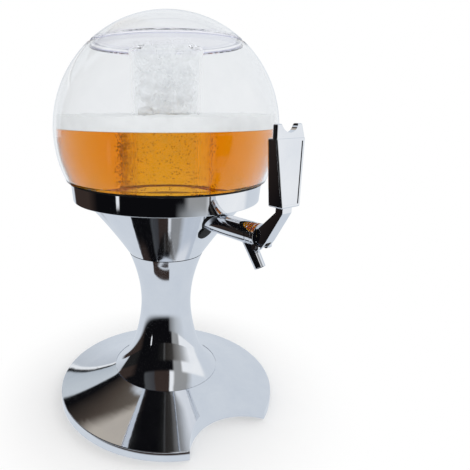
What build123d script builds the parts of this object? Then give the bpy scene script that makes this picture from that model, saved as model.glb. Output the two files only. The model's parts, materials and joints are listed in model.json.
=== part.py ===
from build123d import *
import math
import os

# Draft drink dispenser: a clear ball tank on a chrome stand, with a lever tap on the front.
# Millimetres. The origin is on the table on the axis of the neck, +Z is up and the tap points to -Y.

os.makedirs("parts", exist_ok=True)

# Ball tank
ball_radius = 105.0
ball_centre_height = 279.0
tank_wall = 2.5
shoulder_share = 0.40952
mouth_share = 0.68
bowl_clearance = 1.7

# Mouth of the ball: gasket, ice tube flange and lid, one on the other
gasket_thickness = 1.0
flange_thickness = 2.0
mouth_edge_inset = 0.8
mouth_seat_inset = 0.4
ice_tube_radius = 33.0
ice_tube_draft = 1.8
ice_tube_clearance = 8.5
flare_share = 0.527
flange_lip_height = 1.5
flange_lip_width = 1.8
flange_lip_clearance = 0.8
flange_skirt_depth = 4.0
flange_skirt_clearance = 1.5

# Collar band and the seal on it
seal_thickness = 2.0
seal_overhang = 1.5
collar_inset = 3.8
collar_taper = 1.5
collar_lip = 10.2
collar_height_share = 0.165714
collar_wall = 3.0
collar_ledge_width = 5.6
collar_edge_radius = 0.8

# Cone housing below the band
cone_bottom_radius = 37.9
cone_height_share = 0.52952
cone_sag = 1.6
cone_wall = 2.5
cone_floor = 3.5
cone_flange_width = 6.7
collar_hole_clearance = 0.4

# Neck
seam_thickness = 0.8
seam_recess = 0.9
seam_step = 0.3
neck_waist_radius = 26.0
neck_waist_height = 106.0
neck_wall = 3.0
neck_deck = 3.5
neck_upper_shares = ((0.38, 0.147), (0.70, 0.50))
neck_lower_shares = ((0.295, 0.392), (0.638, 0.11))

# Foot
foot_radius = 114.6
foot_clearance = 0.6
rim_height = 10.5
crease_radius = 55.1
crease_height = 30.4
crease_groove = 0.35
skirt_sag = 1.6
foot_wall = 2.5
deck_step = 2.0
bite_radius = 57.0
bite_outset = 21.4
foot_edge_radius = 0.8

# Underside of the foot
base_plate_thickness = 2.5
base_plate_gap = 0.5
ballast_inset = 24.6
ballast_thickness = 6.0
ballast_bite_margin = 12.0
boss_radius = 4.0
boss_circle_inset = 34.6
boss_angles = (40.0, 140.0, 205.0, 335.0)
boss_hole_clearance = 0.6
pad_thickness = 1.5
pad_radius = 7.0
centre_pad_radius = 12.0
pad_circle_inset = 17.6
pad_angles = (55.0, 125.0, 230.0, 310.0)

# Screws, rod and nuts
screw_radius = 1.5
screw_head_radius = 2.8
screw_head_height = 1.3
base_screw_length = 10.0
collar_screw_length = 4.2
collar_screw_angles = (45.0, 135.0, 225.0, 315.0)
fastener_clearance = 0.1
rod_radius = 4.0
nut_across_flats = 13.0
nut_height = 6.0
washer_radius = 9.0
washer_thickness = 1.5
rod_end_length = 3.0
rod_chamfer = 0.8

# Tap
tap_below_band = 10.1
tap_radius = 9.2
tap_reach = 34.0
tap_edge_radius = 0.6
tap_groove_setback = 6.1
tap_groove_width = 0.9
tap_groove_depth = 0.5
tap_gasket_overhang = 0.7
tap_gasket_thickness = 1.4
tap_tongue_radius = 6.6
tap_tongue_drop = 13.0
shank_radius = 6.0
shank_end_length = 2.0
shank_clearance = 0.1
cone_hole_clearance = 0.4
tank_boss_radius = 12.0
tank_boss_setback = 19.4
tank_boss_clearance = 0.8
lock_nut_across_flats = 19.0
lock_nut_height = 6.0
inner_washer_radius = 10.5
inner_washer_thickness = 2.0
flow_radius = 3.0
chamber_wall = 3.0
seat_setback = 24.5
spout_setback = 13.9
spout_tilt = 36.0
spout_root_radius = 5.4
spout_end_radius = 4.5
spout_bore_radius = 3.2
spout_length = 32.0
spout_fit = 0.03

# Bonnet and valve
bonnet_length = 3.5
bonnet_step = 0.3
bonnet_spigot_length = 3.0
bonnet_spigot_fit = 0.05
stem_radius = 1.6
stem_fit = 0.08
stem_seal_wire = 0.75
stem_seal_fit = 0.05
plunger_flange_clearance = 0.8
plunger_flange_thickness = 2.0
valve_seal_clearance = 1.0
valve_seal_thickness = 3.0
valve_seal_gap = 0.05
spring_wire_radius = 0.4
spring_clearance = 1.8
spring_turns = 6
spring_end_gap = 0.1

# Lever
lever_travel = 25.0
pivot_drop = 7.6
pivot_outset = 2.8
pin_radius = 1.2
pin_fit = 0.05
ear_radius = 2.4
ear_thickness = 2.4
ear_gap = 0.4
arm_width = 9.8
arm_thickness = 6.5
arm_foot_gap = 0.5
arm_foot_thickness = 2.6
arm_foot_height = 13.6
arm_knee_drop = 4.6
arm_front_wall = 0.9
arm_slot_play = 0.6
arm_slot_above = 5.2
head_radius = 2.6
head_play = 0.5
paddle_outset = 13.8
paddle_bottom_rise = 34.6
paddle_height = 48.6
paddle_bottom_depth = 13.0
paddle_top_depth = 8.6
paddle_bottom_width = 19.5
paddle_top_width = 30.0
paddle_horn_height = 9.4
paddle_horn_depth = 4.6
paddle_horn_root = 2.0
paddle_horn_lean = 2.0
paddle_horn_width = 26.0
paddle_field_margin = 2.4
paddle_field_depth = 0.5
paddle_scoop_radius = 9.0
paddle_scoop_depth = 6.0
paddle_edge_radius = 1.2
tang_width = 6.0
tang_depth = 5.0
tang_height = 14.0
tang_fit = 0.05

# One overrun serves every cut
overrun = 1.0


def ball_radius_at(rise, radius=ball_radius):
    """Radius of a ball of the tank's centre at a height above or below that centre."""
    return math.sqrt(radius ** 2 - rise ** 2)


# The ball's mouth and shoulder and the heights of band and housing go with the ball
mouth_radius = ball_radius * mouth_share
shoulder_drop = ball_radius * shoulder_share
collar_height = ball_radius * collar_height_share
cone_height = ball_radius * cone_height_share

# Levels that follow from the sizes above
mouth_rise = ball_radius_at(mouth_radius)
mouth_height = ball_centre_height + mouth_rise
flange_bottom = mouth_height + gasket_thickness
flange_top = flange_bottom + flange_thickness
shoulder_height = ball_centre_height - shoulder_drop
collar_top = shoulder_height - seal_thickness
collar_bottom = collar_top - collar_height
cone_bottom = collar_bottom - cone_height
neck_top = cone_bottom - seam_thickness
foot_deck = crease_height - deck_step
tap_height = collar_bottom - tap_below_band
pivot_height = tap_height - pivot_drop
base_plate_bottom = pad_thickness
base_plate_top = base_plate_bottom + base_plate_thickness

# Radii that follow, from the ball down to the neck
collar_top_radius = ball_radius_at(shoulder_drop) - collar_inset
collar_bottom_radius = collar_top_radius - collar_taper
cone_top_radius = collar_bottom_radius - collar_lip
neck_top_radius = cone_bottom_radius - seam_step
bowl_radius = math.hypot(collar_top_radius - collar_ledge_width - bowl_clearance, shoulder_drop)
bowl_inner_radius = bowl_radius - tank_wall

# Places that follow on the foot
bite_distance = foot_radius + bite_outset
ballast_radius = foot_radius - ballast_inset
boss_circle_radius = foot_radius - boss_circle_inset
pad_circle_radius = foot_radius - pad_circle_inset

# Radii and distances from the neck's axis that follow along the tap
chamber_radius = tap_radius - chamber_wall
boss_face_distance = ball_radius_at(ball_centre_height - tap_height, bowl_inner_radius) - tank_boss_setback
lock_nut_start = boss_face_distance - inner_washer_thickness - lock_nut_height
shank_start = lock_nut_start - shank_end_length
tap_length = collar_bottom_radius + tap_reach
seat_distance = tap_length - seat_setback
spout_root_distance = tap_length - spout_setback
bonnet_end = tap_length + bonnet_length
pivot_distance = bonnet_end + pivot_outset
paddle_back_distance = bonnet_end + paddle_outset

stand = (Align.CENTER, Align.CENTER, Align.MIN)
hang = (Align.CENTER, Align.CENTER, Align.MAX)


def turned(*edges):
    """Solid of revolution about Z from edges of a closed outline in the XZ plane."""
    return revolve(make_face(edges), Axis.Z)


def line(*points):
    """Open run of straight lines through (radius, height) points."""
    return Polyline(*[(r, 0, z) for r, z in points])


def arc(start, middle, end):
    """Arc through three (radius, height) points."""
    return ThreePointArc(*[(r, 0, z) for r, z in (start, middle, end)])


def upright(radius, bottom, top):
    """Round bar about Z between two levels."""
    return Pos(0, 0, bottom) * Cylinder(radius, top - bottom, align=stand)


def ring(outer, inner, bottom, height):
    """Plain ring about Z."""
    top = bottom + height
    return upright(outer, bottom, top) - upright(inner, bottom - overrun, top + overrun)


def forward(outer, start, length):
    """Round bar that lies along the tap's axis, from a distance in front of the neck's axis."""
    return Location((0, -start, tap_height), (90, 0, 0)) * Cylinder(outer, length, align=stand)


def crosswise(radius, length, middle=0.0):
    """Round bar across the tap at the lever's pivot, about a middle to one side."""
    return Location((middle, -pivot_distance, pivot_height), (0, 90, 0)) * Cylinder(radius, length)


def side_plate(outline, width):
    """Plate of a width across the tap from an outline in distance and height."""
    side = Plane(origin=(0, 0, 0), x_dir=(0, -1, 0), z_dir=(-1, 0, 0))
    return extrude(side * outline, width / 2, both=True)


def round_about(radius, angles):
    """Points on a circle about Z, one for each angle."""
    return [
        (radius * math.cos(math.radians(angle)), radius * math.sin(math.radians(angle)))
        for angle in angles
    ]


def screw(length):
    """Pan head screw with its head's seat at the origin and its shank along +Z."""
    head = Cylinder(screw_head_radius, screw_head_height, align=hang)
    shank = Cylinder(screw_radius, length, align=stand)
    slot = Pos(0, 0, -screw_head_height) * Box(
        screw_head_radius, screw_radius / 2, screw_head_height, align=(Align.CENTER,) * 3
    )
    return head + shank - slot


def hex_bar(across_flats, height):
    """Hexagonal bar that stands on the origin."""
    outline = RegularPolygon(across_flats / 2, 6, major_radius=False)
    return extrude(outline, height)


def ball_solid(radius, bottom, top):
    """Slice of a ball about the tank's centre between two rises."""
    low, high = ball_radius_at(bottom, radius), ball_radius_at(top, radius)
    middle = (bottom + top) / 2
    lift = ball_centre_height
    return turned(
        arc((low, lift + bottom), (ball_radius_at(middle, radius), lift + middle), (high, lift + top)),
        line((high, lift + top), (0, lift + top), (0, lift + bottom), (low, lift + bottom)),
    )


def ball_cap(radius, bottom):
    """Top of a ball about the tank's centre, above a rise."""
    low = ball_radius_at(bottom, radius)
    middle = radius * math.sin((math.asin(bottom / radius) + math.pi / 2) / 2)
    lift = ball_centre_height
    return turned(
        arc((low, lift + bottom), (ball_radius_at(middle, radius), lift + middle), (0, lift + radius)),
        line((0, lift + radius), (0, lift + bottom), (low, lift + bottom)),
    )


def bowl_cap(radius, top):
    """Bottom of a ball about the tank's centre, below a rise."""
    return mirror(ball_cap(radius, -top), Plane.XY.offset(ball_centre_height))


def cone_solid(offset=0.0):
    """Solid inside the housing's outer face, set out or in by an offset, with a straight neck on top."""
    slope = math.hypot(cone_top_radius - cone_bottom_radius, cone_height) / cone_height
    step = offset * slope
    middle = (cone_top_radius + cone_bottom_radius) / 2 - cone_sag
    top, bottom = cone_top_radius + step, cone_bottom_radius + step
    return turned(
        arc((bottom, cone_bottom), (middle + step, cone_bottom + cone_height / 2), (top, collar_bottom)),
        line((top, collar_bottom), (top, collar_bottom + collar_wall + cone_wall)),
        line(
            (top, collar_bottom + collar_wall + cone_wall),
            (0, collar_bottom + collar_wall + cone_wall),
            (0, cone_bottom),
            (bottom, cone_bottom),
        ),
    )


def tank_boss():
    """Thick pad in the bowl that carries the tap's shank, cut back from the housing's inner face."""
    bar = forward(tank_boss_radius, boss_face_distance, cone_top_radius - boss_face_distance)
    return bar & cone_solid(-cone_wall - tank_boss_clearance)


def make_ball_tank():
    """Clear ball with an open mouth, a shoulder that rests on the seal and a smaller bowl below."""
    shell = ball_solid(ball_radius, -shoulder_drop, mouth_rise)
    shell = shell + bowl_cap(bowl_radius, -shoulder_drop) + tank_boss()
    floor_rise = -shoulder_drop + tank_wall
    hollow = ball_solid(ball_radius - tank_wall, floor_rise, mouth_rise + overrun)
    bowl_hollow = bowl_cap(bowl_inner_radius, floor_rise)
    pad = forward(tank_boss_radius, boss_face_distance, cone_top_radius - boss_face_distance)
    bore = forward(shank_radius + shank_clearance, shank_start, cone_top_radius - shank_start)
    return shell - (hollow + bowl_hollow - pad) - bore


def mouth_edge_radius(rise):
    """Radius of the rings in the mouth, a little inside the ball's own surface."""
    return ball_radius_at(rise) - mouth_edge_inset


def make_lid_gasket():
    """Thin ring between the tank's mouth and the flange of the ice tube."""
    inner = ball_radius_at(mouth_rise, ball_radius - tank_wall) + mouth_seat_inset
    return ring(mouth_edge_radius(mouth_rise + gasket_thickness), inner, mouth_height, gasket_thickness)


def make_ice_tube():
    """Closed clear tube for ice, with a trumpet flare that runs out into a flange."""
    wall = flange_thickness
    foot = tap_height + tank_boss_radius + ice_tube_clearance
    toe = ice_tube_radius - ice_tube_draft
    edge = mouth_edge_radius(flange_top - ball_centre_height)
    outer, inner = ice_tube_radius, ice_tube_radius - wall
    lip_rise = flange_top + flange_lip_height - ball_centre_height
    lip_outer = ball_radius_at(lip_rise, ball_radius - tank_wall) - flange_lip_clearance
    flare = flare_share * (lip_outer - flange_lip_width - ice_tube_radius)
    flare_centre = (ice_tube_radius + flare, flange_bottom - flare)
    diagonal = math.sqrt(0.5)

    def on_flare(radius):
        """Point of a flare arc halfway round."""
        return flare_centre[0] - radius * diagonal, flare_centre[1] + radius * diagonal

    tube = turned(
        line((0, foot), (toe, foot), (outer, flare_centre[1])),
        arc((outer, flare_centre[1]), on_flare(flare), (flare_centre[0], flange_bottom)),
        line((flare_centre[0], flange_bottom), (edge, flange_bottom), (edge, flange_top)),
        line((edge, flange_top), (flare_centre[0], flange_top)),
        arc((flare_centre[0], flange_top), on_flare(flare + wall), (inner, flare_centre[1])),
        line((inner, flare_centre[1]), (toe - wall, foot + wall), (0, foot + wall)),
        line((0, foot + wall), (0, foot)),
    )
    lip = ring(lip_outer, lip_outer - flange_lip_width, flange_top, flange_lip_height)
    skirt_outer = ball_radius_at(mouth_rise, ball_radius - tank_wall) - flange_skirt_clearance
    skirt_bottom = flange_bottom - flange_skirt_depth
    skirt = ring(skirt_outer, skirt_outer - flange_lip_width, skirt_bottom, flange_skirt_depth)
    return tube + lip + skirt


def make_dome_lid():
    """Clear cap that continues the ball above the flange."""
    rise = flange_top - ball_centre_height
    return ball_cap(ball_radius, rise) - ball_cap(ball_radius - tank_wall, rise)


def make_ball_seal():
    """Rubber ring between the tank's shoulder and the band."""
    return ring(collar_top_radius + seal_overhang, collar_top_radius - collar_ledge_width,
                collar_top, seal_thickness)


def make_collar_ring():
    """Chrome band with a ledge for the seal on top and a flange below that the housing hangs on."""
    ledge_inner = collar_top_radius - collar_ledge_width
    hole = cone_top_radius + collar_hole_clearance
    wall_top, wall_bottom = collar_top_radius - collar_wall, collar_bottom_radius - collar_wall
    band = turned(
        line((collar_bottom_radius, collar_bottom), (collar_top_radius, collar_top)),
        line((collar_top_radius, collar_top), (ledge_inner, collar_top)),
        line((ledge_inner, collar_top), (ledge_inner, collar_top - collar_wall)),
        line((ledge_inner, collar_top - collar_wall), (wall_top, collar_top - collar_wall)),
        line((wall_top, collar_top - collar_wall), (wall_bottom, collar_bottom + collar_wall)),
        line((wall_bottom, collar_bottom + collar_wall), (hole, collar_bottom + collar_wall)),
        line((hole, collar_bottom + collar_wall), (hole, collar_bottom)),
        line((hole, collar_bottom), (collar_bottom_radius, collar_bottom)),
    )
    outer_edges = [e for e in band.edges().filter_by(GeomType.CIRCLE) if e.radius > wall_top]
    band = fillet(outer_edges, collar_edge_radius)
    for x, y in round_about(collar_screw_circle(), collar_screw_angles):
        band = band - Pos(x, y, collar_bottom) * Cylinder(screw_radius + fastener_clearance, collar_height)
    return band


def collar_screw_circle():
    """Radius of the circle of screws that hold the housing's flange to the band."""
    return cone_top_radius + cone_flange_width / 2


def make_collar_screws():
    """Four short screws from above through the housing's flange into the band."""
    head_seat = collar_bottom + collar_wall + cone_wall
    one = Location((0, 0, 0), (180, 0, 0)) * screw(collar_screw_length)
    return Compound([
        Pos(x, y, head_seat) * one for x, y in round_about(collar_screw_circle(), collar_screw_angles)
    ])


def make_funnel_housing():
    """Chrome cone with a floor for the rod, a flange on the band and a hole for the tap's shank."""
    flange_bottom_level = collar_bottom + collar_wall
    flange_top_level = flange_bottom_level + cone_wall
    shell = cone_solid() + upright(cone_top_radius + cone_flange_width, flange_bottom_level, flange_top_level)
    hollow = cone_solid(-cone_wall) & upright(cone_top_radius, cone_bottom + cone_floor, collar_top)
    shell = shell - hollow
    shell = shell - upright(rod_radius + fastener_clearance, cone_bottom - overrun,
                            cone_bottom + cone_floor + overrun)
    shell = shell - forward(shank_radius + cone_hole_clearance, shank_start, cone_top_radius)
    for x, y in round_about(collar_screw_circle(), collar_screw_angles):
        shell = shell - Pos(x, y, collar_bottom) * Cylinder(screw_radius + fastener_clearance, collar_height)
    return shell


def make_neck_seal_ring():
    """Thin dark ring in the seam between housing and neck."""
    return ring(neck_top_radius - seam_recess, neck_waist_radius, neck_top, seam_thickness)


def neck_points(inset):
    """Outline of the neck from its top to its foot, moved in by an inset."""
    upper, lower = neck_top - neck_waist_height, neck_waist_height - crease_height
    points = [(neck_top_radius - inset, neck_top)]
    for height_share, radius_share in reversed(neck_upper_shares):
        radius = neck_waist_radius + radius_share * (neck_top_radius - neck_waist_radius)
        points.append((radius - inset, neck_waist_height + height_share * upper))
    points.append((neck_waist_radius - inset, neck_waist_height))
    for height_share, radius_share in reversed(neck_lower_shares):
        radius = neck_waist_radius + radius_share * (crease_radius - neck_waist_radius)
        points.append((radius - inset, crease_height + height_share * lower))
    points.append((crease_radius - inset, crease_height))
    return points


def neck_solid(inset):
    """Solid inside the neck's outline, moved in by an inset, down to the foot's deck."""
    points = neck_points(inset)
    curve = Spline(*[(r, 0, z) for r, z in points])
    foot = crease_radius - inset
    return turned(
        curve,
        line((foot, crease_height), (foot, foot_deck), (0, foot_deck), (0, neck_top), points[0]),
    )


def make_neck_column():
    """Waisted hollow neck with a closed top and a flared foot that stands on the skirt's deck."""
    below_deck = upright(crease_radius, foot_deck, neck_top - neck_deck)
    neck = neck_solid(0) - (neck_solid(neck_wall) & below_deck)
    return neck - upright(rod_radius + fastener_clearance, neck_top - neck_deck - overrun, neck_top + overrun)


def skirt_solid(inset):
    """Solid inside the foot's outer face before the glass bay is cut, moved in by an inset."""
    edge = crease_radius + crease_groove
    middle_radius = (foot_radius + edge) / 2
    middle_height = (rim_height + crease_height) / 2 - skirt_sag
    rim = foot_radius - inset
    return turned(
        line((0, foot_clearance), (rim, foot_clearance), (rim, rim_height - inset)),
        arc((rim, rim_height - inset), (middle_radius, middle_height - inset), (edge, crease_height - inset)),
        line((edge, crease_height - inset), (edge, foot_deck - inset), (0, foot_deck - inset)),
        line((0, foot_deck - inset), (0, foot_clearance)),
    )


def bite(margin=0.0):
    """Upright cylinder that cuts the bay for the glass, widened by a margin."""
    return Pos(0, -bite_distance, 0) * upright(bite_radius + margin, -overrun, crease_height + overrun)


def make_foot_skirt():
    """Crescent foot: sloping skirt, upright rim, walled bay for the glass and bosses for the screws."""
    outer = skirt_solid(0)
    circles = outer.edges().filter_by(GeomType.CIRCLE)
    rim_edges = [edge for edge in circles if edge.radius > foot_radius - foot_edge_radius]
    outer = fillet(rim_edges, foot_edge_radius) - bite()
    void = skirt_solid(foot_wall) + upright(foot_radius - foot_wall, 0, rim_height / 2)
    skirt = outer - (void - bite(foot_wall))
    for x, y in round_about(boss_circle_radius, boss_angles):
        boss = Pos(x, y, 0) * upright(boss_radius, base_plate_top, crease_height)
        skirt = skirt + (boss & skirt_solid(foot_wall / 2))
    for x, y in round_about(boss_circle_radius, boss_angles):
        skirt = skirt - Pos(x, y, 0) * upright(
            screw_radius + fastener_clearance, base_plate_bottom, base_plate_top + base_screw_length
        )
    rod_hole = upright(rod_radius + fastener_clearance, foot_deck - foot_wall - overrun, foot_deck + overrun)
    return skirt - rod_hole


def make_foot_base_plate():
    """Flat plate that closes the foot from below, with sunk holes for the screws."""
    plate = upright(foot_radius - foot_wall - base_plate_gap, base_plate_bottom, base_plate_top)
    plate = plate - bite(foot_wall + base_plate_gap)
    seat = base_plate_bottom + screw_head_height
    sink = upright(screw_head_radius + fastener_clearance, base_plate_bottom - overrun, seat)
    hole = upright(screw_radius + fastener_clearance, base_plate_bottom, base_plate_top + overrun)
    for x, y in round_about(boss_circle_radius, boss_angles):
        plate = plate - Pos(x, y, 0) * sink - Pos(x, y, 0) * hole
    return plate


def make_ballast_weight():
    """Steel plate on the base plate, with holes round the bosses, that keeps the stand steady."""
    top = base_plate_top + ballast_thickness
    plate = upright(ballast_radius, base_plate_top, top) - bite(ballast_bite_margin)
    hole = upright(boss_radius + boss_hole_clearance, base_plate_top - overrun, top + overrun)
    for x, y in round_about(boss_circle_radius, boss_angles):
        plate = plate - Pos(x, y, 0) * hole
    return plate


def make_rubber_feet():
    """Five flat pads under the base plate."""
    pads = [upright(centre_pad_radius, 0, pad_thickness)]
    for x, y in round_about(pad_circle_radius, pad_angles):
        pads.append(Pos(x, y, 0) * upright(pad_radius, 0, pad_thickness))
    return Compound(pads)


def make_base_screws():
    """Four screws up through the base plate into the bosses."""
    seat = base_plate_bottom + screw_head_height
    return Compound([
        Pos(x, y, seat) * screw(base_screw_length) for x, y in round_about(boss_circle_radius, boss_angles)
    ])


def lower_nut_level():
    """Underside of the nut below the foot's deck."""
    return foot_deck - foot_wall - washer_thickness - nut_height


def upper_nut_level():
    """Underside of the nut on the housing's floor."""
    return cone_bottom + cone_floor + washer_thickness


def make_tie_rod():
    """Threaded rod that pulls foot, neck and housing together."""
    bottom = lower_nut_level() - rod_end_length
    top = upper_nut_level() + nut_height + rod_end_length
    rod = upright(rod_radius, bottom, top)
    return chamfer(rod.edges().filter_by(GeomType.CIRCLE), rod_chamfer)


def make_tie_rod_nuts():
    """Nut at each end of the rod."""
    nut = hex_bar(nut_across_flats, nut_height)
    nut = nut - upright(rod_radius + fastener_clearance, -overrun, nut_height + overrun)
    return Compound([Pos(0, 0, level) * nut for level in (lower_nut_level(), upper_nut_level())])


def make_tie_rod_washers():
    """Washer under each nut."""
    levels = (lower_nut_level() + nut_height, upper_nut_level() - washer_thickness)
    return Compound([
        ring(washer_radius, rod_radius + fastener_clearance, level, washer_thickness) for level in levels
    ])


def make_tap_gasket():
    """Rubber saddle between the cone and the tap, with a round tongue below."""
    bar = forward(tap_radius + tap_gasket_overhang, shank_start, cone_top_radius)
    bar = bar + Pos(0, 0, -tap_tongue_drop) * forward(tap_tongue_radius, shank_start, cone_top_radius)
    skin = cone_solid(tap_gasket_thickness) - cone_solid()
    hole = forward(shank_radius + cone_hole_clearance, shank_start, cone_top_radius)
    return front_piece(bar & skin - hole)


def front_piece(shape):
    """The solid of a shape that lies furthest to the front."""
    return min(shape.solids(), key=lambda solid: solid.center().Y)


def make_tap_inner_washer():
    """Rubber washer between the tank's pad and the lock nut."""
    washer = forward(inner_washer_radius, boss_face_distance - inner_washer_thickness, inner_washer_thickness)
    return washer - forward(shank_radius + fastener_clearance, shank_start, cone_top_radius)


def make_tap_lock_nut():
    """Nut on the shank inside the tank."""
    bar = hex_bar(lock_nut_across_flats, lock_nut_height)
    nut = Location((0, -lock_nut_start, tap_height), (90, 0, 0)) * bar
    return nut - forward(shank_radius + fastener_clearance, shank_start, cone_top_radius)


def spout_place():
    """Place of the spout: its root on the tap's axis, with Z along the tube towards its end."""
    return Location((0, -spout_root_distance, tap_height), (180 - spout_tilt, 0, 0))


def make_tap_body():
    """Tap barrel with a saddle at its root, a shank through the tank, a valve seat and a chamber."""
    barrel = forward(tap_radius, boss_face_distance, tap_length - boss_face_distance)
    barrel = barrel - cone_solid(tap_gasket_thickness)
    front = barrel.faces().sort_by(Axis.Y)[0]
    barrel = fillet(front.edges(), tap_edge_radius)
    body = front_piece(barrel) + forward(shank_radius, shank_start, seat_distance - shank_start)
    body = body - forward(flow_radius, shank_start - overrun, seat_distance - shank_start)
    body = body - forward(chamber_radius, seat_distance, tap_length)
    body = body - forward(flow_radius, seat_distance - overrun - overrun, tap_length)
    socket = spout_place() * Cone(
        spout_root_radius + spout_fit, spout_end_radius + spout_fit, spout_length, align=stand
    )
    groove = forward(tap_radius + bonnet_step, tap_length - tap_groove_setback, tap_groove_width)
    groove = groove - forward(
        tap_radius - tap_groove_depth, tap_length - tap_groove_setback, tap_groove_width
    )
    return body - socket - groove


def make_spout_tube():
    """Tapered spout that leans forward, its root cut flush with the chamber's wall."""
    tube = Cone(spout_root_radius, spout_end_radius, spout_length, align=stand)
    tube = spout_place() * (tube - upright(spout_bore_radius, -overrun, spout_length + overrun))
    return tube - forward(chamber_radius, seat_distance, tap_length)


def make_tap_bonnet():
    """End cap of the tap: it guides the stem and carries the ears of the lever's pin."""
    cap = forward(tap_radius + bonnet_step, tap_length, bonnet_length)
    cap = fillet(cap.edges().filter_by(GeomType.CIRCLE), tap_edge_radius)
    spigot = forward(chamber_radius - bonnet_spigot_fit, tap_length - bonnet_spigot_length,
                     bonnet_spigot_length)
    ears = []
    for side in (-1, 1):
        centre = side * (arm_width / 2 + ear_gap + ear_thickness / 2)
        root = Pos(centre, -bonnet_end + bonnet_length / 2, pivot_height) * Box(
            ear_thickness, pivot_distance - bonnet_end + bonnet_length / 2, ear_radius + ear_radius,
            align=(Align.CENTER, Align.MAX, Align.CENTER)
        )
        ears.append(crosswise(ear_radius, ear_thickness, centre) + root)
    cap = cap + spigot + ears[0] + ears[1]
    pocket = forward(
        stem_seal_outer() + stem_seal_fit, tap_length - bonnet_spigot_length - overrun,
        bonnet_spigot_length + overrun
    )
    cap = cap - forward(stem_radius + stem_fit, shank_start, tap_length) - pocket
    return cap - crosswise(pin_radius + pin_fit, pin_length() + overrun)


def stem_seal_outer():
    """Outer radius of the ring that seals the stem."""
    return stem_radius + stem_seal_fit + stem_seal_wire + stem_seal_wire


def make_stem_seal():
    """Rubber ring round the stem, in the bonnet's pocket."""
    start = tap_length - stem_seal_wire - stem_seal_fit
    place = Location((0, -start, tap_height), (90, 0, 0))
    return place * Torus(stem_radius + stem_seal_fit + stem_seal_wire, stem_seal_wire)


def plunger_flange_start():
    """Distance of the plunger's flange, just in front of the valve's rubber."""
    return seat_distance + valve_seal_gap + valve_seal_thickness


def head_distance():
    """Distance of the centre of the stem's round head, in the socket behind the lever's front wall."""
    return bonnet_end + arm_foot_gap + arm_foot_thickness + head_play + head_radius


def make_valve_plunger():
    """Stem with a flange for the valve's rubber and a round head in front of the lever's foot."""
    start = plunger_flange_start()
    stem = forward(stem_radius, start, head_distance() - start)
    flange = forward(chamber_radius - plunger_flange_clearance, start, plunger_flange_thickness)
    head = Pos(0, -head_distance(), tap_height) * Sphere(head_radius)
    return stem + flange + head


def make_valve_seal():
    """Rubber disc that closes the seat."""
    start = seat_distance + valve_seal_gap
    return forward(chamber_radius - valve_seal_clearance, start, valve_seal_thickness)


def make_return_spring():
    """Coil spring between the plunger's flange and the bonnet."""
    start = plunger_flange_start() + plunger_flange_thickness + spring_end_gap + spring_wire_radius
    end = tap_length - bonnet_spigot_length - spring_end_gap - spring_wire_radius
    length = end - start
    path = Helix(length / spring_turns, length, chamber_radius - spring_clearance)
    section = Plane(origin=path @ 0, z_dir=path % 0) * Circle(spring_wire_radius)
    coil = sweep(section, path=path)
    return Location((0, -start, tap_height), (90, 0, 0)) * coil


def pulled_head():
    """Place of the stem's head in the lever's own frame once the lever is pulled, as distance and height."""
    turn = math.radians(lever_travel)
    reach = head_distance() - pivot_distance + pivot_drop * turn
    ahead = reach * math.cos(turn) - pivot_drop * math.sin(turn)
    above = reach * math.sin(turn) + pivot_drop * math.cos(turn)
    return pivot_distance + ahead, pivot_height + above


def circle_at(place, radius):
    """Edge of a circle in the side outline."""
    return (Pos(*place) * Circle(radius)).edge()


def arm_outline():
    """Side outline of the lever's arm from its eye to the knee under the paddle."""
    foot_back = bonnet_end + arm_foot_gap
    middle = paddle_back_distance + paddle_bottom_depth / 2
    knee = pivot_height + paddle_bottom_rise - arm_knee_drop
    back = (foot_back, pivot_height + arm_foot_height)
    back_knee, front_knee = (middle - arm_thickness / 2, knee), (middle + arm_thickness / 2, knee)
    return make_hull([
        circle_at((pivot_distance, pivot_height), ear_radius),
        circle_at((head_distance(), tap_height), head_radius + head_play + arm_front_wall),
        Line(back, back_knee),
        Line(back_knee, front_knee),
    ])


def head_channel():
    """Side outline of the hollow in the arm that takes the stem's head, open below."""
    room = head_radius + head_play
    return make_hull([
        circle_at(pulled_head(), room),
        circle_at((head_distance(), tap_height), room),
        circle_at((pivot_distance, pivot_height), room),
        circle_at((pivot_distance, pivot_height - pivot_drop), room),
    ])


def make_lever_arm():
    """Metal arm, hollow from below: two cheeks on the pin, a slotted back wall and a tang into the paddle."""
    paddle_bottom = pivot_height + paddle_bottom_rise
    middle = paddle_back_distance + paddle_bottom_depth / 2
    knee = Pos(0, -middle, paddle_bottom) * Box(arm_width, arm_thickness, arm_knee_drop, align=hang)
    tang = Pos(0, -middle, paddle_bottom) * Box(tang_width, tang_depth, tang_height, align=stand)
    arm = side_plate(arm_outline(), arm_width) + knee + tang
    foot_back = bonnet_end + arm_foot_gap
    behind = Pos(0, -foot_back, pivot_height) * Box(
        arm_width, bonnet_length, arm_foot_height, align=(Align.CENTER, Align.MIN, Align.CENTER)
    )
    channel = side_plate(head_channel(), head_radius + head_play + head_radius + head_play)
    slot_width = stem_radius + arm_slot_play + stem_radius + arm_slot_play
    slot = Pos(0, -bonnet_end, tap_height + arm_slot_above) * Box(
        slot_width, head_distance() - bonnet_end, arm_foot_height + ear_radius,
        align=(Align.CENTER, Align.MAX, Align.MAX)
    )
    return arm - behind - channel - slot - crosswise(pin_radius + pin_fit, arm_width + overrun)


def paddle_section(rise, depth, width, lean=0.0):
    """Rectangle of the paddle at a height above its bottom, set forward from the back's plane by a lean."""
    height = pivot_height + paddle_bottom_rise + rise
    place = Location((0, -paddle_back_distance - lean - depth / 2, height))
    return place * Rectangle(width, depth)


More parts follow.
